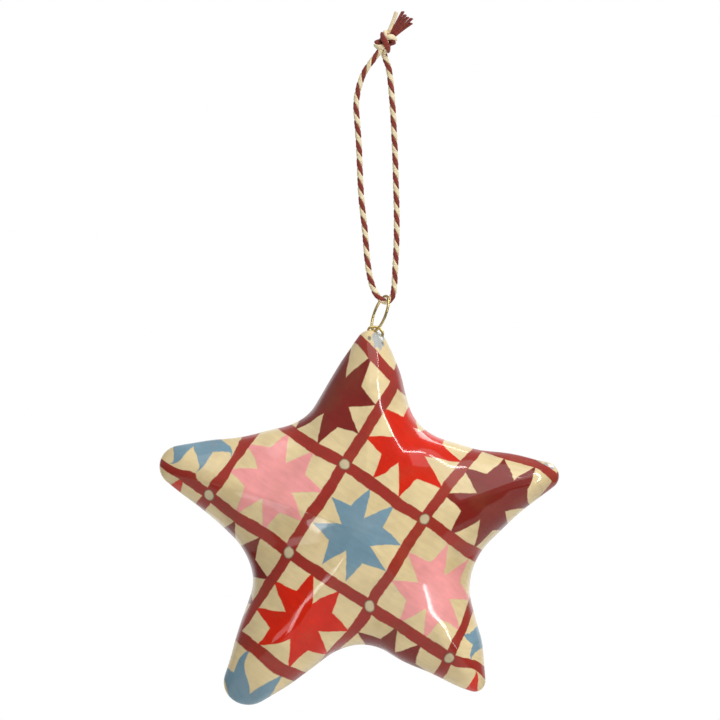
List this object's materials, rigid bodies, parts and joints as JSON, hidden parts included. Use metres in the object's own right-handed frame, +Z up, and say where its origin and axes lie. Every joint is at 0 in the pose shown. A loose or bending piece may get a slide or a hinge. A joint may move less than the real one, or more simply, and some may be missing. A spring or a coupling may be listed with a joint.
{
  "type": "hanging star ornament",
  "caption": "Puffy five-armed papier-mache star, hand painted with quilt blocks and lacquered, on an oval brass ring and wire eye with a knotted two-ply twine hanging loop",
  "frame": {"origin": "The hanging point: the top of the inside of the twine loop, just under its knot.", "axes": "+Z is up along the twine, +X is to the right and -Y is the painted front, so Y is the star's depth."},
  "size_m": [0.0992, 0.0306, 0.1736],
  "materials": {
    "painted_paper": "gloss",
    "bare_paper": "matte",
    "filler": "matte",
    "brass_wire": "polished",
    "twine": "matte",
    "cream_ply": "matte",
    "burgundy_ply": "matte"
  },
  "bodies": {
    "twine": {"twine_loop": "twine", "twine_knot": "twine", "cream_tail": "cream_ply", "burgundy_tail": "burgundy_ply"},
    "ring": {"hanger_ring": "brass_wire"},
    "star": {"front_shell": "painted_paper", "back_shell": "painted_paper", "seam_band": "bare_paper", "nose_plug": "filler", "wire_eye": "brass_wire"}
  },
  "joints": [
    {"name": "ring_swing", "type": "hinge", "parent": "twine", "child": "ring", "pos_m": [0.0005, 0, -0.0616], "axis": [0.7856, 0.5446, -0.2937], "range_deg": [-75, 75]},
    {"name": "star_swing", "type": "hinge", "parent": "ring", "child": "star", "pos_m": [-0.00221, 0, -0.06892], "axis": [0.5101, -0.8387, -0.1907], "range_deg": [-60, 25]}
  ]
}
